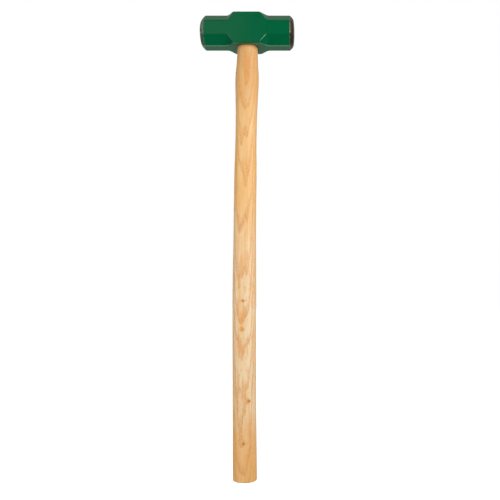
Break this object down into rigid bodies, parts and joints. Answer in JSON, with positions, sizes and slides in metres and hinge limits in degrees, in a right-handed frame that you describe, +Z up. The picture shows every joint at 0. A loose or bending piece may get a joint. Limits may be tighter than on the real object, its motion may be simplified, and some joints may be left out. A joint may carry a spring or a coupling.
{
  "type": "sledgehammer",
  "caption": "Long-handled sledgehammer: double-faced octagonal forged head, enamelled between its ground faces, wedged on an oval clear-lacquered wooden handle.",
  "frame": {"origin": "on the handle's axis at the eye, in the plane of the head's underside, where a two-prong rack holds the hammer up", "axes": "+Z up: the head is at the top and the handle hangs down along -Z; +X along the head from one striking face to the other; +Y across the head"},
  "size_m": [0.1844, 0.06, 0.9149],
  "materials": {
    "head_enamel": "glossy dark green enamel; brown-lacquered bare steel on the faces and their bevels",
    "handle_wood": "flat-sawn ring-porous wood, clear lacquered",
    "wedge_wood": "dry, sawn flush",
    "wedge_steel": "barbed, hammered head, slightly rusty"
  },
  "bodies": {
    "root": {"head": "head_enamel", "handle": "handle_wood", "wooden_wedge": "wedge_wood", "steel_wedge_left": "wedge_steel", "steel_wedge_right": "wedge_steel"}
  },
  "joints": []
}
